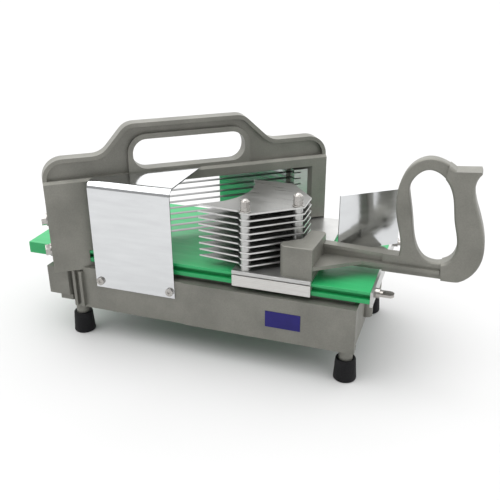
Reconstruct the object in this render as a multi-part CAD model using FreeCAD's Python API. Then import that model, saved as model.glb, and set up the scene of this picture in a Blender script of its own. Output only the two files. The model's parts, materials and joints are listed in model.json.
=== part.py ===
import FreeCAD, Part
import math
import os

# Hand-operated tomato and vegetable slicer: a cast frame with a diagonal blade arch,
# a plastic slide board, and a pusher carriage of stacked plates with a cast D handle.
# Working frame: X along the rails (X = 0 at the rail's right end), Y = 0 at the near
# rail's outer face and growing away from the operator's side, Z = 0 at the floor. mm.

V = FreeCAD.Vector
PARTS = "parts"

# ---- driving dimensions ----------------------------------------------------------
BLADE_PITCH = 6.35            # slice thickness, 1/4 inch
PLATE_COUNT = 9

BASE_LENGTH = 290.0
BASE_WIDTH = 157.0
WALL = 5.5
RAIL_BOTTOM = 33.0
RAIL_TOP = 78.3
RAIL_FLANGE = 22.0            # width of the rail's flat top
FLANGE_THICK = 5.0
GUARD_SEAT = 1.2              # recess in the rail's face where a guard is screwed on
SEAT_END = -167.0             # where the near rail steps from seat to full face

BOARD_LEFT = -340.0
BOARD_RIGHT = 10.0
BOARD_EDGE = 6.0              # distance of the board's edge from the rail's outer face
BOARD_BOTTOM = 83.4
BOARD_TOP = 95.2
GROOVE_LOW = 87.5
GROOVE_HIGH = 92.4
GROOVE_DEPTH = 5.0

FOOT_X = (-288.0, -9.0)
FOOT_Y = (11.0, 146.0)
FOOT_R = 11.0
FOOT_TOP_R = 9.5
FOOT_HEIGHT = 22.0
STUB_R = 6.5

ARCH_ANGLE = 36.7             # plan angle between the arch and the rails, degrees
ARCH_CORNER = V(-297.4, -15.6, 0)
ARCH_LENGTH = 287.5
ARCH_DEPTH = 17.0
ARCH_SHOULDER = 190.0
ARCH_TOP = 218.3
HANDLE_FOOT = (56.5, 227.2)   # where the raised handle leaves the shoulders, along the arch
HANDLE_CREST = (81.5, 197.8)  # where its flat top begins and ends
BEAM_TOP = 169.5
WINDOW_TOP = 158.6
LEG_BOTTOM = 76.0
WINDOW_NEAR = 8.0             # the window's side walls run along X at these Y
WINDOW_FAR = 146.7
SLOT_LOW = 172.8
SLOT_HIGH = 202.3
SLOT_START = 86.3
SLOT_END = 199.0
SLOT_ROUND = 14.0
SLOT_RIM = 5.0                # raised border round the carrying slot
RIM_FRONT = 2.5               # the upper panel's rim sits behind the lower frame's face
RIM_WIDTH = 4.0
PANEL_FRONT = 7.0
PANEL_BACK = 12.0
BEAM_CHAMFER = 2.5

BLADE_WIDTH = 5.2
BLADE_THICK = 0.5
BLADE_DEPTH = 9.0             # the blades' centre line, behind the arch's front face
BLADE_START = 18.0
BLADE_END = 264.0
BLADE_BEVEL = 1.2             # width of the ground front edge
POST_NEAR = (14.0, 34.0)      # the blade posts' places along the arch
POST_FAR = (252.5, 268.0)
POST_DEPTH = (3.0, 14.6)      # behind the arch's front face
POST_FOOT = 1.2               # below the lowest blade, clear of the slide plate
SLIT = 1.2                    # height of the far post's slits, open to the front
SLIT_END = 260.0
TENSION_BOLT_Z = (98.0, 130.0)

SLIDE_LEFT = -117.5
SLIDE_RIGHT = -42.8
SLIDE_EDGE = 1.9
SLIDE_BOTTOM = 95.5
SLIDE_TOP = 99.0
GUIDE_THICK = 3.5
GUIDE_SEAM = 1.2              # height of the seam between the slide plate and its side bar
SEAM_DEPTH = 2.5
LIP_REACH = 4.0
LIP_GAP = 0.6                 # running gap between a lip and its groove

PLATE_THICK = 1.6
TOP_PLATE_Z = 155.2           # middle of the top pusher plate
PLATE_NEAR = 13.0             # the near tips pass inside the near leg
PLATE_EDGE = 4.0              # the plates' edge in front of the near post
PLATE_FAR = 94.0
POSTS = ((-105.7, 8.2), (-65.0, 37.0))
SPACER_R = 4.6
BOLT_R = 2.5
NUT_TOP = 168.3               # passes just under the front guard

BLOCK_TOP = 129.0
ARM_Y = 42.5
ARM_WEB = 6.0
ARM_BOTTOM = 102.5
ARM_TOP = 121.5
FLANGE_LOW = 107.6
FLANGE_HIGH = 111.0
FLANGE_HALF = 8.5
LOOP_THICK = 11.0             # the D loop; its grip limb is thicker
GRIP_THICK = 18.0

SHIELD_OFFSET = 111.3         # from the arch's front face to the hand shield
SHIELD_START = 252.5
SHIELD_LENGTH = 62.0
SHIELD_TOP = 166.0
SHEET = 1.2

GUARD_LEFT = -260.7
GUARD_RIGHT = -175.6
GUARD_BOTTOM = 60.0
GUARD_TOP = 170.3
GUARD_BEND = 8.0
GUARD_SCREW_Z = 66.7
GUARD_SCREW_INSET = 5.0

END_PLATE = 2.4               # thickness of the metal strip on the board's end
WING_SCREW_Z = 88.6
WING_SCREW_INSET = 20.0       # from either side of the base
SCREW_FIT = 0.05

LABEL = (-84.2, -50.5, 47.3, 63.8)
LABEL_THICK = 0.6

HANDLE_RIGHT = 98.0
ORIGIN = V((BOARD_LEFT + HANDLE_RIGHT) / 2, BASE_WIDTH / 2, 0)
BASE_CENTRE = V(-BASE_LENGTH / 2 - 37.0, BASE_WIDTH / 2, 0)


# ---- helpers -----------------------------------------------------------------------
def box(x0, x1, y0, y1, z0, z1):
    return Part.makeBox(x1 - x0, y1 - y0, z1 - z0, V(x0, y0, z0))


def rod(x, y, z0, z1, radius):
    return Part.makeCylinder(radius, z1 - z0, V(x, y, z0))


def rod_y(x, z, y0, y1, radius):
    return Part.makeCylinder(radius, y1 - y0, V(x, y0, z), V(0, 1, 0))


def rod_x(y, z, x0, x1, radius):
    return Part.makeCylinder(radius, x1 - x0, V(x0, y, z), V(1, 0, 0))


def hex_bar(x, y, z0, z1, across):
    corner = across / math.sqrt(3)
    points = [V(x + corner * math.cos(math.radians(60 * i)),
                y + corner * math.sin(math.radians(60 * i)), z0) for i in range(7)]
    return Part.Face(Part.makePolygon(points)).extrude(V(0, 0, z1 - z0))


def plan_prism(points, z0, z1):
    outline = [V(x, y, z0) for x, y in points]
    return Part.Face(Part.makePolygon(outline + [outline[0]])).extrude(V(0, 0, z1 - z0))


def side_prism(wire_or_points, y0, y1):
    """Extrude an outline drawn in X and Z along Y."""
    if isinstance(wire_or_points, Part.Wire):
        face = Part.Face(wire_or_points)
    else:
        outline = [V(x, 0, z) for x, z in wire_or_points]
        face = Part.Face(Part.makePolygon(outline + [outline[0]]))
    face.translate(V(0, y0, 0))
    return face.extrude(V(0, y1 - y0, 0))


def spline_wire(points, closed):
    curve = Part.BSplineCurve()
    curve.interpolate([V(x, 0, z) for x, z in points], PeriodicFlag=closed)
    return curve.toShape()


def place_on_arch(shape):
    """Turn a shape drawn along the arch (X along it, Y into its depth) into place."""
    placed = shape.copy()
    placed.rotate(V(0, 0, 0), V(0, 0, 1), ARCH_ANGLE)
    placed.translate(ARCH_CORNER)
    return placed


def mirrored(shape):
    """The same shape half a turn round the frame's middle, for the far side."""
    turned = shape.copy()
    turned.rotate(BASE_CENTRE, V(0, 0, 1), 180)
    return turned


def far_side(shape):
    """The same shape reflected to the far rail."""
    return shape.mirror(V(0, BASE_WIDTH / 2, 0), V(0, 1, 0))


def fuse(shapes):
    return shapes[0].multiFuse(shapes[1:]).removeSplitter()


def without(shape, tools):
    for tool in tools:
        shape = shape.cut(tool)
    return shape


def save(name, shapes):
    shape = shapes if isinstance(shapes, Part.Shape) else Part.makeCompound(shapes)
    moved = shape.copy()
    moved.translate(V(0, 0, 0) - ORIGIN)
    solids = moved.Solids
    moved = solids[0] if len(solids) == 1 else Part.makeCompound(solids)
    moved.exportStep(os.path.join(PARTS, name + ".step"))
    print(name, len(solids), "valid" if moved.isValid() else "NOT VALID", round(moved.Volume))


def filleted(shape, radius, chosen):
    edges = [edge for edge in shape.Edges if chosen(edge)]
    return shape.makeFillet(radius, edges) if edges else shape


def upright(edge):
    start, end = edge.Vertexes[0].Point, edge.Vertexes[-1].Point
    return abs(start.z - end.z) > 0.99 * edge.Length


def stands_at(edge, x, y):
    place = edge.Vertexes[0].Point
    return abs(place.x - x) < 0.1 and abs(place.y - y) < 0.1


# ---- arch --------------------------------------------------------------------------
def arch_outline(inset, low):
    """Outline of the arch seen square on: rounded shoulders and a raised handle."""
    left, right = inset, ARCH_LENGTH - inset
    shoulder, top = ARCH_SHOULDER - inset, ARCH_TOP - inset
    slant = 0.4 * inset
    points = [(left, low), (left, shoulder), (HANDLE_FOOT[0] + slant, shoulder), (HANDLE_CREST[0] + slant, top),
              (HANDLE_CREST[1] - slant, top), (HANDLE_FOOT[1] - slant, shoulder), (right, shoulder), (right, low)]
    radii = (None, 20 - inset, 20 + inset, 18 - inset, 17 - inset, 20 + inset, 20 - inset, None)
    return rounded_wire(points, radii)


def rounded_wire(points, radii):
    """A closed outline in X and Z whose corners are rounded by the given radii."""
    corners = [V(x, 0, z) for x, z in points]
    count = len(corners)
    cuts = []
    for i, corner in enumerate(corners):
        if not radii[i]:
            cuts.append((corner, corner, None))
            continue
        back = (corners[i - 1] - corner).normalize()
        ahead = (corners[(i + 1) % count] - corner).normalize()
        half = back.getAngle(ahead) / 2
        reach = radii[i] / math.tan(half)
        bisector = (back + ahead).normalize()
        middle = corner + bisector * (radii[i] / math.sin(half) - radii[i])
        cuts.append((corner + back * reach, corner + ahead * reach, middle))
    edges = []
    for i in range(count):
        start, end, middle = cuts[i]
        if middle:
            edges.append(Part.Arc(start, middle, end).toShape())
        following = cuts[(i + 1) % count][0]
        edges.append(Part.LineSegment(end, following).toShape())
    return Part.Wire(edges)


def slot_wire(grow):
    low, high = SLOT_LOW - grow, SLOT_HIGH + grow
    start, end = SLOT_START - grow, SLOT_END + grow
    points = [(start, low), (start, high), (end, high), (end, low)]
    return rounded_wire(points, [SLOT_ROUND + grow] * 4)


def leg_walls():
    """Space between the window's side walls, which run along the slide's travel."""
    return box(-420, 120, WINDOW_NEAR, WINDOW_FAR, LEG_BOTTOM - 30, WINDOW_TOP)


def board_notch():
    """Clearance for the slide board, whose edges pass into the legs' feet."""
    return box(-420, 120, BOARD_EDGE - 0.3, BASE_WIDTH - BOARD_EDGE + 0.3, BOARD_BOTTOM - 0.3, BOARD_TOP + 0.3)


def guide_tunnel():
    """Way through the foot of the far leg for the carriage's far guide."""
    return box(-420, 120, 140, BASE_WIDTH - SLIDE_EDGE + 0.8, BOARD_BOTTOM - 1.5, SLIDE_TOP + 1.5)


def post_blank(reach):
    """Block that holds the blades' ends, reaching a little past the first and last blade."""
    top = TOP_PLATE_Z - BLADE_PITCH / 2 + 3.2
    low = TOP_PLATE_Z - BLADE_PITCH * (PLATE_COUNT - 0.5) - POST_FOOT
    return box(reach[0], reach[1], POST_DEPTH[0], POST_DEPTH[1], low, top)


def blade_slots():
    """Where the blades sit, as thin boxes in the arch's own directions."""
    slots = []
    for i in range(PLATE_COUNT):
        z = TOP_PLATE_Z - BLADE_PITCH * (i + 0.5)
        slots.append(box(BLADE_START, BLADE_END, BLADE_DEPTH - BLADE_WIDTH / 2,
                         BLADE_DEPTH + BLADE_WIDTH / 2, z - BLADE_THICK / 2, z + BLADE_THICK / 2))
    return slots


def feed_slits():
    """Slits in the far post's face, through which the blades' ends are put in."""
    slits = []
    for i in range(PLATE_COUNT):
        z = TOP_PLATE_Z - BLADE_PITCH * (i + 0.5)
        slits.append(box(POST_FAR[0] - 1, SLIT_END, POST_DEPTH[0] - 1, BLADE_DEPTH, z - SLIT / 2, z + SLIT / 2))
    return slits


def blade_posts():
    """The near post hides in its leg; the far one stands in the window beside its leg."""
    near = place_on_arch(post_blank(POST_NEAR)).cut(leg_walls())
    far = without(place_on_arch(post_blank(POST_FAR)), [place_on_arch(slit) for slit in feed_slits()])
    for slot in blade_slots():
        placed = place_on_arch(slot)
        near = near.cut(placed)
        far = far.cut(placed)
    return near, far


def blades():
    """Flat strips with a ground front edge."""
    strips = []
    for slot in blade_slots():
        low = slot.BoundBox
        middle = (low.ZMin + low.ZMax) / 2
        heel = low.YMin + BLADE_BEVEL
        section = [(low.YMin, middle), (heel, low.ZMax), (low.YMax, low.ZMax), (low.YMax, low.ZMin),
                   (heel, low.ZMin), (low.YMin, middle)]
        outline = Part.makePolygon([V(BLADE_START, y, z) for y, z in section])
        strip = Part.Face(outline).extrude(V(BLADE_END - BLADE_START, 0, 0))
        strips.append(place_on_arch(strip))
    return strips


def tension_bolts():
    """Hex bolts in the arch's left end that pull the near blade post."""
    bolts = []
    for z in TENSION_BOLT_Z:
        shank = rod_x(BLADE_DEPTH, z, -2.0, 13.5, 3.0)
        washer = rod_x(BLADE_DEPTH, z, -1.2, 0.0, 6.4)
        head = hex_bar(0, 0, 0, 4.5, 10.0)
        head.rotate(V(0, 0, 0), V(0, 1, 0), -90)
        head.translate(V(-1.2, BLADE_DEPTH, z))
        bolts.append(place_on_arch(fuse([shank, washer, head])))
    return bolts


def on_beam_front(edge):
    """The lower frame's front edge at the foot of the upper panel."""
    bounds = edge.BoundBox
    return bounds.YMax < 0.1 and bounds.ZMin > BEAM_TOP - 0.1


def arch_casting(bolts):
    frame_wire = rounded_wire([(0, LEG_BOTTOM), (0, BEAM_TOP), (ARCH_LENGTH, BEAM_TOP),
                               (ARCH_LENGTH, LEG_BOTTOM)], [None] * 4)
    frame = side_prism(frame_wire, 0, ARCH_DEPTH)
    frame = frame.makeChamfer(BEAM_CHAMFER, [edge for edge in frame.Edges if on_beam_front(edge)])
    rim_back = ARCH_DEPTH - 1.0
    upper = side_prism(arch_outline(0, BEAM_TOP - 1), RIM_FRONT, rim_back)
    inner = side_prism(arch_outline(RIM_WIDTH, BEAM_TOP), RIM_FRONT - 1, PANEL_FRONT)
    inner_back = side_prism(arch_outline(RIM_WIDTH, BEAM_TOP), PANEL_BACK, rim_back + 1)
    ring = side_prism(slot_wire(SLOT_RIM), RIM_FRONT, rim_back)
    below_ring = box(SLOT_START - SLOT_RIM, SLOT_END + SLOT_RIM, RIM_FRONT, rim_back,
                     BEAM_TOP - 1, (SLOT_LOW + SLOT_HIGH) / 2)
    slot = side_prism(slot_wire(0), -5, ARCH_DEPTH + 5)
    upper = upper.cut(inner).cut(inner_back).fuse(ring).fuse(below_ring)
    arch = frame.fuse(upper).cut(slot).removeSplitter()
    pockets = [place_on_arch(post_blank((POST_NEAR[0], POST_NEAR[1] + 6))),
               place_on_arch(post_blank((POST_FAR[0] - 4, POST_FAR[1])))]
    return without(place_on_arch(arch), [leg_walls(), guide_tunnel(), board_notch()] + pockets + bolts)


# ---- base --------------------------------------------------------------------------
def near_rail():
    wall = box(-BASE_LENGTH, 0, 0, WALL, RAIL_BOTTOM, RAIL_TOP)
    seat = box(-BASE_LENGTH - 1, SEAT_END, -1, GUARD_SEAT, RAIL_BOTTOM - 1, RAIL_TOP + 1)
    flange = box(-BASE_LENGTH, 0, GUARD_SEAT, RAIL_FLANGE, RAIL_TOP - FLANGE_THICK, RAIL_TOP)
    foot_rail = box(-BASE_LENGTH, 0, GUARD_SEAT, 10.0, RAIL_BOTTOM, RAIL_BOTTOM + 4)
    pad = box(-BASE_LENGTH + 4, -4, 12.0, RAIL_FLANGE, RAIL_TOP, BOARD_BOTTOM)
    full_face = box(SEAT_END, 0, 0, RAIL_FLANGE, RAIL_TOP - FLANGE_THICK, RAIL_TOP)
    return fuse([wall.cut(seat), flange, full_face, foot_rail, pad])


def end_walls():
    left = box(-BASE_LENGTH, -BASE_LENGTH + WALL, 4, BASE_WIDTH - 4, RAIL_BOTTOM + 6, RAIL_TOP)
    right = box(-WALL, 0, 4, BASE_WIDTH - 4, RAIL_BOTTOM + 6, RAIL_TOP)
    boss = rod(1.0, 52.0, RAIL_BOTTOM + 14, RAIL_TOP, 6.0)
    boss_far = rod(1.0, BASE_WIDTH - 52.0, RAIL_BOTTOM + 14, RAIL_TOP, 6.0)
    return [left, right, boss, boss_far]


def corner_boss():
    """Stepped boss under the near end of the arch, with two ribs beside it."""
    block = plan_prism([(-315, -3), (-292, -3), (-286, 12), (-291, 24), (-315, 6)], 46, LEG_BOTTOM)
    step = plan_prism([(-304, -1), (-290, -1), (-286, 12), (-291, 24), (-302, 14)], 40, 46)
    ribs = [box(x, x + 3, -2.5, WALL, RAIL_BOTTOM + 2, RAIL_TOP - 4) for x in (-287.0, -279.5)]
    return [block, step] + ribs


def foot_stubs():
    return [rod(x, y, FOOT_HEIGHT - 4, RAIL_BOTTOM + 3, STUB_R) for x in FOOT_X for y in FOOT_Y]


def far_corner_boss():
    """Thickening of the far rail under the far leg."""
    return box(-118, -62, BASE_WIDTH - 14, BASE_WIDTH + 5.5, LEG_BOTTOM - 20, LEG_BOTTOM)


def base_casting(arch, screws):
    near = near_rail()
    far = far_side(box(-BASE_LENGTH, 0, 0, WALL, RAIL_BOTTOM, RAIL_TOP))
    far_seat = box(-190, -95, BASE_WIDTH - GUARD_SEAT, BASE_WIDTH + 1, RAIL_BOTTOM, RAIL_TOP + 1)
    far_flange = far_side(box(-BASE_LENGTH, 0, 0, RAIL_FLANGE, RAIL_TOP - FLANGE_THICK, RAIL_TOP))
    far_foot = far_side(box(-BASE_LENGTH, 0, 0, 10.0, RAIL_BOTTOM, RAIL_BOTTOM + 4))
    far_pad = far_side(box(-BASE_LENGTH + 4, -4, 12.0, RAIL_FLANGE, RAIL_TOP, BOARD_BOTTOM))
    body = fuse([near, far.cut(far_seat), far_flange.cut(far_seat), far_foot, far_pad,
                 far_corner_boss()] + end_walls() + corner_boss() + foot_stubs())
    return without(body, [far_seat, arch] + screws)


def rubber_foot(x, y):
    cup = Part.makeCone(FOOT_R, FOOT_TOP_R, FOOT_HEIGHT, V(x, y, 0))
    return cup.cut(rod(x, y, FOOT_HEIGHT - 4, FOOT_HEIGHT + 1, STUB_R))


# ---- board -------------------------------------------------------------------------
def slide_board():
    board = box(BOARD_LEFT, BOARD_RIGHT, BOARD_EDGE, BASE_WIDTH - BOARD_EDGE, BOARD_BOTTOM, BOARD_TOP)
    groove = box(SEAT_END - 140, BOARD_RIGHT + 1, BOARD_EDGE - 1, BOARD_EDGE + GROOVE_DEPTH,
                 GROOVE_LOW, GROOVE_HIGH)
    return board.cut(groove).cut(far_side(groove))


def end_plate(screws):
    plate = box(BOARD_RIGHT, BOARD_RIGHT + END_PLATE, BOARD_EDGE, BASE_WIDTH - BOARD_EDGE,
                BOARD_BOTTOM - 2.9, BOARD_TOP - 0.6)
    return without(plate, screws)


def wing_screw(y):
    """Thumb screw with a collar and one flat oval tab."""
    face = BOARD_RIGHT + END_PLATE
    shank = rod_x(y, WING_SCREW_Z, BOARD_RIGHT - 6, face + 6.6, BOLT_R)
    collar = rod_x(y, WING_SCREW_Z, face + 0.1, face + 4.1, 4.6)
    tab = box(face + 3.6, face + 16.6, y - 4.5, y + 4.5, WING_SCREW_Z - 1.3, WING_SCREW_Z + 1.3)
    tab = filleted(tab, 4.0, lambda e: upright(e) and e.Vertexes[0].Point.x > face + 16)
    return fuse([shank, collar, tab])


def screw_clearance(y):
    return rod_x(y, WING_SCREW_Z, BOARD_RIGHT - 8, BOARD_RIGHT + 3, BOLT_R + SCREW_FIT)


# ---- guards ------------------------------------------------------------------------
def bent_guard():
    """Bent sheet on the near rail: upright face, rounded bend, flat top over the arch."""
    face = box(GUARD_LEFT, GUARD_RIGHT, 0, SHEET, GUARD_BOTTOM, GUARD_TOP - GUARD_BEND)
    bend_axis_z = GUARD_TOP - GUARD_BEND
    outer = rod_x(GUARD_BEND, bend_axis_z, GUARD_LEFT, GUARD_RIGHT, GUARD_BEND)
    inner = rod_x(GUARD_BEND, bend_axis_z, GUARD_LEFT, GUARD_RIGHT, GUARD_BEND - SHEET)
    quarter = box(GUARD_LEFT, GUARD_RIGHT, 0, GUARD_BEND, bend_axis_z, GUARD_TOP)
    bend = outer.cut(inner).common(quarter)
    top = box(GUARD_LEFT, GUARD_RIGHT, GUARD_BEND, 120, GUARD_TOP - SHEET, GUARD_TOP)
    return fuse([face, bend, top])


def front_guard():
    return bent_guard().cut(place_on_arch(box(-100, 400, 0, 300, 0, 300)))


def rear_guard():
    """The same sheet on the far rail, its top reaching the arch's rear face."""
    return mirrored(bent_guard()).cut(place_on_arch(box(-100, 400, -300, ARCH_DEPTH, 0, 300)))


def guard_screws():
    screws = []
    for x in (GUARD_LEFT + GUARD_SCREW_INSET, GUARD_RIGHT - GUARD_SCREW_INSET):
        shank = rod_y(x, GUARD_SCREW_Z, -0.2, WALL, 2.0)
        head = rod_y(x, GUARD_SCREW_Z, -2.2, 0.0, 4.0)
        recess = rod_y(x, GUARD_SCREW_Z, -2.3, -1.2, 1.5)
        screws.append(fuse([shank, head]).cut(recess))
    return screws


# ---- carriage ----------------------------------------------------------------------
def slide_plate(holes):
    plate = box(SLIDE_LEFT, SLIDE_RIGHT, SLIDE_EDGE, BASE_WIDTH - SLIDE_EDGE, SLIDE_BOTTOM, SLIDE_TOP)
    return without(plate, holes)


def side_guide():
    """Bar below the slide plate's edge with a lip that runs in the board's groove."""
    bar = box(SLIDE_LEFT, SLIDE_RIGHT, SLIDE_EDGE, SLIDE_EDGE + GUIDE_THICK, BOARD_BOTTOM - 0.2, SLIDE_BOTTOM)
    seam = box(SLIDE_LEFT - 1, SLIDE_RIGHT + 1, SLIDE_EDGE - 1, SLIDE_EDGE + SEAM_DEPTH,
               SLIDE_BOTTOM - GUIDE_SEAM, SLIDE_BOTTOM + 1)
    lip = box(SLIDE_LEFT, SLIDE_RIGHT, SLIDE_EDGE, BOARD_EDGE + LIP_REACH,
              GROOVE_LOW + LIP_GAP, GROOVE_HIGH - LIP_GAP)
    return fuse([bar.cut(seam), lip])


def plate_outline():
    """Plan of a pusher plate: hollow leading edge, trailing edges clear of the block."""
    near_tip = V(-153.6, PLATE_NEAR, 0)
    hollow = V(-120.5, 52.0, 0)
    far_tip = V(-126.5, PLATE_FAR, 0)
    leading = Part.Arc(near_tip, hollow, far_tip).toShape()
    rest = [far_tip, V(-85, PLATE_FAR, 0), V(-58.5, 61, 0), V(-58.5, 36, 0), V(-100, PLATE_EDGE, 0),
            V(-109.5, PLATE_EDGE, 0), V(-113, 8.3, 0), near_tip]
    sides = [Part.LineSegment(a, b).toShape() for a, b in zip(rest, rest[1:])]
    return Part.Wire([leading] + sides)


def pusher_plates():
    plates = []
    for i in range(PLATE_COUNT):
        middle = TOP_PLATE_Z - BLADE_PITCH * i
        plate = Part.Face(plate_outline()).extrude(V(0, 0, PLATE_THICK))
        plate.translate(V(0, 0, middle - PLATE_THICK / 2))
        for x, y in POSTS:
            plate = plate.cut(rod(x, y, middle - 2, middle + 2, BOLT_R))
        plates.append(plate)
    return plates


def spacers(x, y):
    """Sleeves on one through bolt, one below each plate."""
    sleeves = []
    for i in range(PLATE_COUNT):
        top = TOP_PLATE_Z - BLADE_PITCH * i - PLATE_THICK / 2
        low = max(top - BLADE_PITCH + PLATE_THICK, SLIDE_TOP)
        sleeves.append(rod(x, y, low, top, SPACER_R).cut(rod(x, y, low - 1, top + 1, BOLT_R)))
    return sleeves


def through_bolt(x, y):
    """Threaded rod with a flat head let into the slide plate from below."""
    shank = rod(x, y, SLIDE_BOTTOM, NUT_TOP - 6, BOLT_R)
    head = Part.makeCone(4.8, BOLT_R, 2.3, V(x, y, SLIDE_BOTTOM))
    return fuse([shank, head])


def top_washers():
    z = TOP_PLATE_Z + PLATE_THICK / 2
    return [rod(x, y, z, z + 1.0, 5.2).cut(rod(x, y, z - 1, z + 2, BOLT_R)) for x, y in POSTS]


def lock_nuts():
    z = TOP_PLATE_Z + PLATE_THICK / 2 + 1.0
    return [hex_bar(x, y, z, z + 4.0, 8.0).cut(rod(x, y, z - 1, z + 5, BOLT_R)) for x, y in POSTS]


def acorn_nuts():
    z = TOP_PLATE_Z + PLATE_THICK / 2 + 5.0
    nuts = []
    for x, y in POSTS:
        skirt = hex_bar(x, y, z, z + 5.0, 8.0)
        dome = Part.makeSphere(3.9, V(x, y, NUT_TOP - 3.9))
        neck = rod(x, y, z, NUT_TOP - 3.9, 3.9)
        hole = rod(x, y, z - 1, NUT_TOP - 6, BOLT_R)
        nuts.append(fuse([skirt, neck, dome]).cut(hole))
    return nuts


# ---- handle ------------------------------------------------------------------------
def grip_outline():
    """Outer outline of the D grip, from the arm's top round to the arm's underside."""
    back = spline_wire([(27.5, ARM_TOP - 2), (27.6, 135), (23.5, 152), (21.3, 171), (24.0, 189),
                        (32.5, 204), (45.5, 210.5), (57.5, 208.5), (68.5, 202.0)], False)
    spur = [V(68.5, 0, 202.0), V(87.5, 0, 203.5), V(88.6, 0, 201.0)]
    front = spline_wire([(88.6, 201.0), (84.6, 192), (85.2, 182), (91.0, 165), (96.8, 146),
                         (97.8, 126), (92.0, 111.5), (82.0, ARM_BOTTOM)], False)
    floor = [V(82.0, 0, ARM_BOTTOM), V(14.0, 0, ARM_BOTTOM), V(14.0, 0, ARM_TOP - 2),
             V(27.5, 0, ARM_TOP - 2)]
    lines = [Part.LineSegment(a, b).toShape() for a, b in zip(spur, spur[1:])]
    lines += [Part.LineSegment(a, b).toShape() for a, b in zip(floor, floor[1:])]
    return Part.Wire(Part.__sortEdges__([back, front] + lines))


def hand_hole():
    loop = spline_wire([(31.8, 179), (35.0, 192), (46.0, 200.0), (60.0, 194), (68.5, 176), (71.5, 157),
                        (75.5, 138), (71.5, 122.5), (61.5, 117), (49.5, 119.5), (41.5, 131), (36.3, 156)], True)
    return Part.Wire([loop])


def d_grip():
    """The loop, and its right limb thickened and rounded for the hand."""
    hole = side_prism(hand_hole(), ARM_Y - GRIP_THICK, ARM_Y + GRIP_THICK)
    loop = side_prism(grip_outline(), ARM_Y - LOOP_THICK / 2, ARM_Y + LOOP_THICK / 2).cut(hole)
    loop = filleted(loop, 2.2, lambda e: isinstance(e.Curve, Part.BSplineCurve))
    limb = side_prism(grip_outline(), ARM_Y - GRIP_THICK / 2, ARM_Y + GRIP_THICK / 2).cut(hole)
    limb = filleted(limb, 3.4, lambda e: isinstance(e.Curve, Part.BSplineCurve))
    reach = side_prism([(66, 100), (110, 100), (110, 230), (66, 230), (58, 180), (62, 150)],
                       ARM_Y - GRIP_THICK, ARM_Y + GRIP_THICK)
    return loop.fuse(limb.common(reach))


def handle_block():
    """Boomerang-shaped boss: narrow beside the near post, deep where the arm leaves it."""
    corners = [(-73.5, 4.8, 7.0), (-73.5, 14.5, 4.5), (-57.5, 26.5, 6.0), (-55.5, 49.0, 6.0),
               (-39.8, 49.0, 4.0), (-42.5, 4.6, 0.8)]
    block = plan_prism([(x, y) for x, y, radius in corners], SLIDE_TOP, BLOCK_TOP)
    for x, y, radius in corners:
        block = filleted(block, radius, lambda e: upright(e) and stands_at(e, x, y))
    return filleted(block, 1.2, lambda e: not upright(e) and e.BoundBox.ZMin > BLOCK_TOP - 0.5)


def handle_arm():
    """Upright web with a flange, and gussets that spread to the block."""
    web = side_prism([(-44, ARM_BOTTOM), (16, ARM_BOTTOM), (30, ARM_BOTTOM), (30, ARM_TOP - 2.5),
                      (-44, ARM_TOP)], ARM_Y - ARM_WEB / 2, ARM_Y + ARM_WEB / 2)
    cap = side_prism([(-44, ARM_TOP - 3), (28, ARM_TOP - 5.5), (28, ARM_TOP - 2.5), (-44, ARM_TOP)],
                     ARM_Y - 4.5, ARM_Y + 4.5)
    near = [(-43, 6.0), (-4, ARM_Y - FLANGE_HALF), (64, ARM_Y - FLANGE_HALF)]
    far = [(64, ARM_Y + FLANGE_HALF), (30, ARM_Y + FLANGE_HALF), (10, 72.0), (-6, 72.0), (-40, 47.0)]
    flange = plan_prism(near + far, FLANGE_LOW, FLANGE_HIGH)
    return [web, cap, flange]


def handle_casting(bolts):
    arm = fuse([handle_block()] + handle_arm())
    return without(d_grip().fuse(arm), bolts)


def handle_bolts():
    """Two countersunk bolts up through the slide plate into the block."""
    bolts = []
    for x, y in ((-62.0, 14.0), (-50.0, 36.0)):
        shank = rod(x, y, SLIDE_BOTTOM, SLIDE_TOP + 16, 3.0)
        head = Part.makeCone(5.6, 3.0, 2.6, V(x, y, SLIDE_BOTTOM))
        bolts.append(fuse([shank, head]))
    return bolts


def hand_shield():
    """Upright sheet, parallel to the arch, on a foot flange screwed to the handle's gusset."""
    sheet = box(SHIELD_START, SHIELD_START + SHIELD_LENGTH, -SHIELD_OFFSET, -SHIELD_OFFSET + SHEET,
                FLANGE_HIGH, SHIELD_TOP)
    foot = box(SHIELD_START + 2, SHIELD_START + 32, -SHIELD_OFFSET, -SHIELD_OFFSET + 11,
               FLANGE_HIGH, FLANGE_HIGH + SHEET)
    return place_on_arch(fuse([sheet, foot]))


def shield_screws():
    screws = []
    for s in (SHIELD_START + 8, SHIELD_START + 25):
        shank = rod(s, -SHIELD_OFFSET + 6.2, FLANGE_LOW, FLANGE_HIGH + SHEET, 1.6)
        head = rod(s, -SHIELD_OFFSET + 6.2, FLANGE_HIGH + SHEET, FLANGE_HIGH + SHEET + 1.8, 3.2)
        screws.append(place_on_arch(fuse([shank, head])))
    return screws


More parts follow.
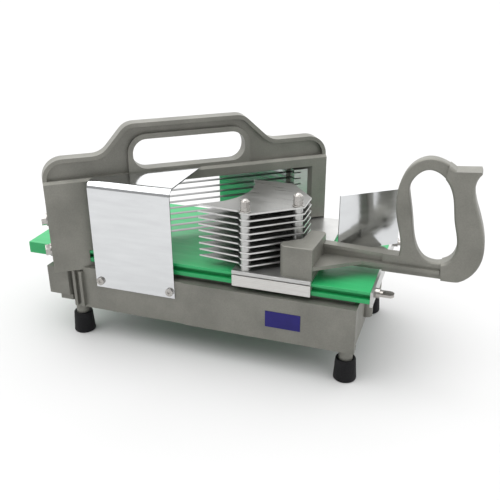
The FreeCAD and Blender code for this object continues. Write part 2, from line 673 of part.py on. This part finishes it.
# ---- assembly ----------------------------------------------------------------------
def main():
    os.makedirs(PARTS, exist_ok=True)
    near_post, far_post = blade_posts()
    tension = tension_bolts()
    arch = arch_casting(tension)
    front_screws = guard_screws()
    rear_screws = [mirrored(screw) for screw in front_screws]
    base = base_casting(arch, front_screws + rear_screws)
    save("base_casting", base)
    save("arch_casting", arch)
    save("blade_post_near", near_post)
    save("blade_post_far", far_post)
    save("blade_tension_bolts", tension)
    for i, blade in enumerate(blades()):
        save("blade_%02d" % (i + 1), blade)
    save("front_guard", without(front_guard(), front_screws))
    save("rear_guard", without(rear_guard(), rear_screws))
    save("guard_screws", front_screws + rear_screws)
    for i, (x, y) in enumerate((x, y) for x in FOOT_X for y in FOOT_Y):
        save("rubber_foot_%d" % (i + 1), rubber_foot(x, y))
    save("label_plate", box(LABEL[0], LABEL[1], -LABEL_THICK, 0, LABEL[2], LABEL[3]))

    wing_places = (WING_SCREW_INSET, BASE_WIDTH - WING_SCREW_INSET)
    clearances = [screw_clearance(y) for y in wing_places]
    save("slide_board", without(slide_board(), clearances))
    save("board_end_plate", end_plate(clearances))
    save("wing_screw_near", wing_screw(wing_places[0]))
    save("wing_screw_far", wing_screw(wing_places[1]))

    bolts = [through_bolt(x, y) for x, y in POSTS]
    block_bolts = handle_bolts()
    fixings = shield_screws()
    save("slide_plate", slide_plate(bolts + block_bolts))
    save("side_guide_near", side_guide())
    save("side_guide_far", far_side(side_guide()))
    for i, plate in enumerate(pusher_plates()):
        save("pusher_plate_%02d" % (i + 1), plate)
    for i, (x, y) in enumerate(POSTS):
        save("plate_spacers_%d" % (i + 1), spacers(x, y))
    save("through_bolts", bolts)
    save("top_washers", top_washers())
    save("lock_nuts", lock_nuts())
    save("acorn_nuts", acorn_nuts())
    handle = handle_casting(block_bolts + fixings)
    save("handle_casting", handle)
    save("handle_bolts", block_bolts)
    save("hand_shield", without(hand_shield(), fixings + [handle]))
    save("shield_screws", fixings)


main()
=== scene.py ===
import json
import math

import bmesh
import bpy
from mathutils import Matrix, Vector


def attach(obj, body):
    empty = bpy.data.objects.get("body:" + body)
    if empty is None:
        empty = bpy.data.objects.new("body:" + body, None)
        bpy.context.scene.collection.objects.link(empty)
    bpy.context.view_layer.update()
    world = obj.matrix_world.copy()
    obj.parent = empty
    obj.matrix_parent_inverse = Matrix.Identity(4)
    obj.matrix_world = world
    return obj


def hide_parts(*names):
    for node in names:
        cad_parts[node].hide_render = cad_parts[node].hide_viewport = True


# A cast-aluminium tomato slicer on a pale studio floor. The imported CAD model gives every
# shape and place; this file adds the camera, the studio, rounded edges and the materials.

MM = 0.001

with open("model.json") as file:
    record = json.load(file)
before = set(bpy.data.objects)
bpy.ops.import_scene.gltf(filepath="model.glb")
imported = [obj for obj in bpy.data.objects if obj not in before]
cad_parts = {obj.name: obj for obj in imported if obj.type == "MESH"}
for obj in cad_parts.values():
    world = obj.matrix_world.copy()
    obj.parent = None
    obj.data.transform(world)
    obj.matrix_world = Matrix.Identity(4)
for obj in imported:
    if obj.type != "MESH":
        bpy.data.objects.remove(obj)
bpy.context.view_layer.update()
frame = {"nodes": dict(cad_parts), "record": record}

# ---- camera ------------------------------------------------------------------------
# The photograph's viewpoint: in front of the handle end, looking down and to the left.
CAMERA_PLACE = Vector((0.2034, -0.6009, 0.3768))
CAMERA_YAW = math.radians(19.25)
CAMERA_DOWN = math.radians(24.5)
CAMERA_ROLL = math.radians(-0.4)
CAMERA_LENS = 49.07
SENSOR_WIDTH = 36
CAMERA_SHIFT = (0.0032, -0.0036)


def add_camera():
    camera = bpy.data.objects.new("camera", bpy.data.cameras.new("camera"))
    bpy.context.scene.collection.objects.link(camera)
    turn = Matrix.Rotation(CAMERA_YAW, 4, "Z") @ Matrix.Rotation(math.pi / 2 - CAMERA_DOWN, 4, "X")
    turn = turn @ Matrix.Rotation(CAMERA_ROLL, 4, "Z")
    camera.matrix_world = Matrix.Translation(CAMERA_PLACE) @ turn
    camera.data.lens = CAMERA_LENS
    camera.data.sensor_width = SENSOR_WIDTH
    camera.data.shift_x, camera.data.shift_y = CAMERA_SHIFT
    bpy.context.scene.camera = camera


# ---- studio ------------------------------------------------------------------------
SUN_STRENGTH = 1.8
SUN_SPREAD = math.radians(70)      # wide, so that shadows are soft
SUN_PLACE = (-0.5, -0.35, 2)
BACKDROP = 1.6                     # brightness behind the slicer
FRONT_ROOM = 0.42                  # brightness in front of it
ROOM_FADE = (-0.8, 0.1)            # a direction's Y, from all front room to all backdrop
SOFTBOXES = (("key", (-0.9, -0.9, 1.2), 0.7, 3),      # name, place, side in metres, watts
             ("fill", (1.2, -0.8, 0.8), 0.6, 1))
SOFTBOX_TARGET = (0, 0, 0.1)
FLOOR_SIZE = 80
FLOOR_DROP = 0.0002                # keeps the floor just under the feet's soles


def add_lamp(lamp, place, target):
    """Put a lamp in the scene, facing its target."""
    lamp.location = place
    lamp.rotation_euler = (Vector(target) - Vector(place)).to_track_quat("-Z", "Y").to_euler()
    bpy.context.scene.collection.objects.link(lamp)


def add_softbox(name, place, side, power):
    light = bpy.data.lights.new(name, "AREA")
    light.shape = "RECTANGLE"
    light.size, light.size_y = side, side
    light.energy = power
    add_lamp(bpy.data.objects.new(name, light), place, SOFTBOX_TARGET)


def add_overhead():
    """Broad even light from above, a little to the front left."""
    light = bpy.data.lights.new("overhead", "SUN")
    light.energy = SUN_STRENGTH
    light.angle = SUN_SPREAD
    add_lamp(bpy.data.objects.new("overhead", light), SUN_PLACE, (0, 0, 0))


def add_room():
    """White backdrop behind the slicer, and a dimmer room in front of it."""
    world = bpy.data.worlds.new("studio")
    world.use_nodes = True
    nodes, links = world.node_tree.nodes, world.node_tree.links
    direction = nodes.new("ShaderNodeTexCoord")
    parts = nodes.new("ShaderNodeSeparateXYZ")
    links.new(direction.outputs["Generated"], parts.inputs["Vector"])
    room = nodes.new("ShaderNodeMapRange")
    room.interpolation_type = "SMOOTHSTEP"
    room.inputs["From Min"].default_value = ROOM_FADE[0]
    room.inputs["From Max"].default_value = ROOM_FADE[1]
    room.inputs["To Min"].default_value = FRONT_ROOM
    room.inputs["To Max"].default_value = BACKDROP
    links.new(parts.outputs["Y"], room.inputs["Value"])
    nodes["Background"].inputs["Color"].default_value = (1, 1, 1, 1)
    links.new(room.outputs["Result"], nodes["Background"].inputs["Strength"])
    bpy.context.scene.world = world


def add_studio():
    add_room()
    add_overhead()
    for name, place, side, power in SOFTBOXES:
        add_softbox(name, place, side, power)
    bpy.context.scene.view_settings.view_transform = "Standard"


def add_floor():
    bpy.ops.mesh.primitive_grid_add(x_subdivisions=8, y_subdivisions=8, size=FLOOR_SIZE,
                                    location=(0, 0, -FLOOR_DROP))
    floor = bpy.context.object
    floor.name = "floor"
    shader, nodes, links = new_shader("floor_paper")
    shader.inputs["Roughness"].default_value = 0.9
    shader.inputs["Specular IOR Level"].default_value = 0.1
    tone = mottle(nodes, links, 3.0, 2, (0.56, 0.56, 0.56), (0.58, 0.58, 0.58))
    links.new(tone, shader.inputs["Base Color"])
    floor.data.materials.append(FINISHES["floor_paper"])


# ---- material building blocks ------------------------------------------------------
FINISHES = {}                      # material slot to its Blender material
NOISE_RANGE = (0.3, 0.7)           # most of a noise texture's values lie between these


def new_shader(slot):
    material = bpy.data.materials.new(slot + "_finish")
    material.use_nodes = True
    FINISHES[slot] = material
    tree = material.node_tree
    return tree.nodes["Principled BSDF"], tree.nodes, tree.links


def noise(nodes, links, scale, detail, stretch=(1, 1, 1)):
    """Noise in the object's own space; stretch squeezes it along an axis for brushed lines."""
    place = nodes.new("ShaderNodeTexCoord")
    mapping = nodes.new("ShaderNodeMapping")
    mapping.inputs["Scale"].default_value = stretch
    texture = nodes.new("ShaderNodeTexNoise")
    texture.inputs["Scale"].default_value = scale
    texture.inputs["Detail"].default_value = detail
    links.new(place.outputs["Object"], mapping.inputs["Vector"])
    links.new(mapping.outputs["Vector"], texture.inputs["Vector"])
    return texture.outputs["Fac"]


def ramp(nodes, links, value, low, high):
    """Colour a noise from one colour to another."""
    blend = nodes.new("ShaderNodeValToRGB")
    for stop, place, colour in zip(blend.color_ramp.elements, NOISE_RANGE, (low, high)):
        stop.position = place
        stop.color = (*colour, 1)
    links.new(value, blend.inputs["Fac"])
    return blend.outputs["Color"]


def mottle(nodes, links, scale, detail, low, high):
    """Even blotches of two colours."""
    return ramp(nodes, links, noise(nodes, links, scale, detail), low, high)


def spread(nodes, links, value, low, high):
    """Map a noise to a range of roughness."""
    remap = nodes.new("ShaderNodeMapRange")
    remap.inputs["From Min"].default_value = NOISE_RANGE[0]
    remap.inputs["From Max"].default_value = NOISE_RANGE[1]
    remap.inputs["To Min"].default_value = low
    remap.inputs["To Max"].default_value = high
    links.new(value, remap.inputs["Value"])
    return remap.outputs["Result"]


def bump(nodes, links, shader, height, strength, distance):
    node = nodes.new("ShaderNodeBump")
    node.inputs["Strength"].default_value = strength
    node.inputs["Distance"].default_value = distance
    links.new(height, node.inputs["Height"])
    links.new(node.outputs["Normal"], shader.inputs["Normal"])


def multiply(nodes, links, a, b):
    mix = nodes.new("ShaderNodeMix")
    mix.data_type = "RGBA"
    mix.blend_type = "MULTIPLY"
    mix.inputs["Factor"].default_value = 1.0
    links.new(a, mix.inputs["A"])
    links.new(b, mix.inputs["B"])
    return mix.outputs["Result"]


def by_facing(nodes, links, upright, level):
    """Blend from one colour on upright faces to another on faces that look up or down."""
    place = nodes.new("ShaderNodeTexCoord")
    facing = nodes.new("ShaderNodeSeparateXYZ")
    links.new(place.outputs["Normal"], facing.inputs["Vector"])
    size = nodes.new("ShaderNodeMath")
    size.operation = "ABSOLUTE"
    links.new(facing.outputs["Z"], size.inputs[0])
    mix = nodes.new("ShaderNodeMix")
    mix.data_type = "RGBA"
    links.new(size.outputs["Value"], mix.inputs["Factor"])
    links.new(upright, mix.inputs["A"])
    links.new(level, mix.inputs["B"])
    return mix.outputs["Result"]


# ---- materials ---------------------------------------------------------------------
def cast_aluminium():
    """Tumbled casting: warm grey, fine sand grain, faint blotches and small pits."""
    shader, nodes, links = new_shader("cast_aluminium")
    shader.inputs["Metallic"].default_value = 0.5
    blotches = mottle(nodes, links, 28, 3, (0.185, 0.183, 0.162), (0.245, 0.242, 0.214))
    grain = mottle(nodes, links, 900, 2, (0.88, 0.88, 0.88), (1.0, 1.0, 1.0))
    links.new(multiply(nodes, links, blotches, grain), shader.inputs["Base Color"])
    links.new(spread(nodes, links, noise(nodes, links, 60, 4), 0.42, 0.56), shader.inputs["Roughness"])
    bump(nodes, links, shader, noise(nodes, links, 700, 3), 0.25, 0.0002)


def machined_aluminium():
    """Milled faces with fine parallel tool lines."""
    shader, nodes, links = new_shader("machined_aluminium")
    shader.inputs["Metallic"].default_value = 0.9
    lines = noise(nodes, links, 60, 3, (1, 1, 30))
    tone = ramp(nodes, links, lines, (0.44, 0.44, 0.43), (0.56, 0.56, 0.55))
    links.new(tone, shader.inputs["Base Color"])
    links.new(spread(nodes, links, lines, 0.28, 0.4), shader.inputs["Roughness"])
    bump(nodes, links, shader, lines, 0.15, 0.0001)


def brushed_aluminium():
    """Bright bar brushed along its length, X."""
    shader, nodes, links = new_shader("brushed_aluminium")
    shader.inputs["Metallic"].default_value = 0.85
    strokes = noise(nodes, links, 40, 4, (0.5, 60, 60))
    tone = ramp(nodes, links, strokes, (0.52, 0.51, 0.49), (0.68, 0.67, 0.65))
    links.new(tone, shader.inputs["Base Color"])
    links.new(spread(nodes, links, strokes, 0.3, 0.45), shader.inputs["Roughness"])
    bump(nodes, links, shader, strokes, 0.12, 0.0001)


def plate_aluminium():
    """Satin sheet with light scuffs along the slide's travel; upright faces, the cut edges, are brighter,
    partly raw cut metal and partly a painted highlight.
    """
    shader, nodes, links = new_shader("plate_aluminium")
    shader.inputs["Metallic"].default_value = 0.9
    scuffs = noise(nodes, links, 30, 5, (1, 12, 1))
    satin = ramp(nodes, links, scuffs, (0.28, 0.28, 0.27), (0.33, 0.33, 0.32))
    # painted highlight: upright faces, the plates' cut edges, take a brighter copy of the colour than the
    # level faces; partly raw cut metal
    sheared_edge_and_highlight = ramp(nodes, links, scuffs, (0.52, 0.52, 0.51), (0.64, 0.64, 0.63))
    links.new(by_facing(nodes, links, sheared_edge_and_highlight, satin), shader.inputs["Base Color"])
    links.new(spread(nodes, links, scuffs, 0.26, 0.38), shader.inputs["Roughness"])
    bump(nodes, links, shader, noise(nodes, links, 500, 2), 0.05, 0.0001)


def blade_steel():
    """Dull strip steel: cloudy flat faces, and fine lines along the thin edges."""
    shader, nodes, links = new_shader("blade_steel")
    shader.inputs["Metallic"].default_value = 1.0
    marks = noise(nodes, links, 50, 4, (1, 1, 20))
    tone = ramp(nodes, links, marks, (0.20, 0.20, 0.20), (0.30, 0.30, 0.30))
    links.new(tone, shader.inputs["Base Color"])
    links.new(spread(nodes, links, marks, 0.3, 0.42), shader.inputs["Roughness"])
    bump(nodes, links, shader, marks, 0.1, 0.0001)


def polished_sheet():
    """Bright sheet metal: near mirror, with soft ripple and hairline wipe marks."""
    shader, nodes, links = new_shader("polished_sheet")
    shader.inputs["Metallic"].default_value = 1.0
    wipes = noise(nodes, links, 25, 5, (1, 1, 8))
    tone = ramp(nodes, links, wipes, (0.62, 0.63, 0.64), (0.68, 0.69, 0.70))
    links.new(tone, shader.inputs["Base Color"])
    links.new(spread(nodes, links, wipes, 0.09, 0.17), shader.inputs["Roughness"])
    bump(nodes, links, shader, noise(nodes, links, 14, 2), 0.04, 0.002)


def fastener_steel():
    """Plated steel with slight tarnish."""
    shader, nodes, links = new_shader("fastener_steel")
    shader.inputs["Metallic"].default_value = 1.0
    tarnish = noise(nodes, links, 90, 3)
    tone = ramp(nodes, links, tarnish, (0.34, 0.32, 0.30), (0.50, 0.49, 0.47))
    links.new(tone, shader.inputs["Base Color"])
    links.new(spread(nodes, links, tarnish, 0.18, 0.34), shader.inputs["Roughness"])


def foot_rubber():
    """Matt black rubber with a fine moulded skin."""
    shader, nodes, links = new_shader("foot_rubber")
    shader.inputs["Specular IOR Level"].default_value = 0.2
    skin = noise(nodes, links, 800, 2)
    tone = ramp(nodes, links, skin, (0.004, 0.004, 0.005), (0.010, 0.010, 0.011))
    links.new(tone, shader.inputs["Base Color"])
    links.new(spread(nodes, links, noise(nodes, links, 90, 3), 0.5, 0.7), shader.inputs["Roughness"])
    bump(nodes, links, shader, skin, 0.2, 0.0002)


def green_board():
    """Satin green polyethylene: painted highlight streaks along X that follow the milling, with shallow
    knife scores.
    """
    shader, nodes, links = new_shader("green_board")
    # painted highlight: lighter streaks along X in the colour stand in for light caught by the milling
    # marks
    painted_milling_sheen = noise(nodes, links, 16, 5, (1, 10, 10))
    tone = ramp(nodes, links, painted_milling_sheen, (0.014, 0.320, 0.098), (0.022, 0.375, 0.125))
    links.new(tone, shader.inputs["Base Color"])
    scores = noise(nodes, links, 40, 6, (1, 18, 1))
    links.new(spread(nodes, links, scores, 0.34, 0.5), shader.inputs["Roughness"])
    bump(nodes, links, shader, scores, 0.12, 0.0002)


def label_blue():
    """Plain dark blue plate with a soft gloss."""
    shader, nodes, links = new_shader("label_blue")
    shader.inputs["Specular IOR Level"].default_value = 0.25
    tint = noise(nodes, links, 60, 3)
    tone = ramp(nodes, links, tint, (0.013, 0.010, 0.115), (0.018, 0.014, 0.145))
    links.new(tone, shader.inputs["Base Color"])
    links.new(spread(nodes, links, tint, 0.4, 0.5), shader.inputs["Roughness"])


MATERIALS = (cast_aluminium, machined_aluminium, brushed_aluminium, plate_aluminium, blade_steel,
             polished_sheet, fastener_steel, foot_rubber, green_board, label_blue)

# ---- pieces ------------------------------------------------------------------------
SLOT_OF = {part["node"]: part["material_slot"] for part in frame["record"]["subparts"]}
BODY_OF = {node: body for body, nodes in frame["record"]["behaviour"]["bodies"].items() for node in nodes}

# Edge rounding of each material's pieces, in millimetres. A piece with none keeps its CAD mesh.
ROUNDING = {"cast_aluminium": 1.1, "machined_aluminium": 0.35, "brushed_aluminium": 0.4,
            "plate_aluminium": 0.25, "blade_steel": 0.0, "polished_sheet": 0.25,
            "fastener_steel": 0.3, "foot_rubber": 1.2, "green_board": 0.7, "label_blue": 0.25}
BEVEL_SEGMENTS = 3
SHARP_ANGLE = math.radians(32)     # edges sharper than this are rounded
SAME_PLACE = 0.00001               # corners closer than this are joined
SAME_PLANE = math.radians(0.6)     # neighbouring faces within this angle become one
FLAT_WEIGHT = 90                   # how strongly large faces keep their own shading


def soften(node):
    """Stand a copy of a CAD node in its place, with flat faces merged and edges rounded."""
    slot = SLOT_OF[node]
    mesh = frame["nodes"][node].data.copy()
    work = bmesh.new()
    work.from_mesh(mesh)
    bmesh.ops.remove_doubles(work, verts=work.verts, dist=SAME_PLACE)
    bmesh.ops.dissolve_limit(work, angle_limit=SAME_PLANE, verts=work.verts, edges=work.edges)
    work.to_mesh(mesh)
    work.free()
    mesh.materials.clear()
    mesh.materials.append(FINISHES[slot])
    piece = bpy.data.objects.new(node + "_finished", mesh)
    bpy.context.scene.collection.objects.link(piece)
    for face in mesh.polygons:
        face.use_smooth = True
    bevel = piece.modifiers.new("rounded_edges", "BEVEL")
    bevel.width = ROUNDING[slot] * MM
    bevel.segments = BEVEL_SEGMENTS
    bevel.limit_method = "ANGLE"
    bevel.angle_limit = SHARP_ANGLE
    flatten = piece.modifiers.new("flat_faces_stay_flat", "WEIGHTED_NORMAL")
    flatten.weight = FLAT_WEIGHT
    flatten.keep_sharp = True
    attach(piece, BODY_OF[node])
    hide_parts(node)


def dress(node):
    """A CAD node that keeps its own mesh takes its slot's material."""
    for material_slot in frame["nodes"][node].material_slots:
        material_slot.material = FINISHES[SLOT_OF[node]]


def add_pieces():
    for node in SLOT_OF:
        if ROUNDING[SLOT_OF[node]] > 0:
            soften(node)
        else:
            dress(node)


add_camera()
add_studio()
for make_material in MATERIALS:
    make_material()
add_floor()
add_pieces()
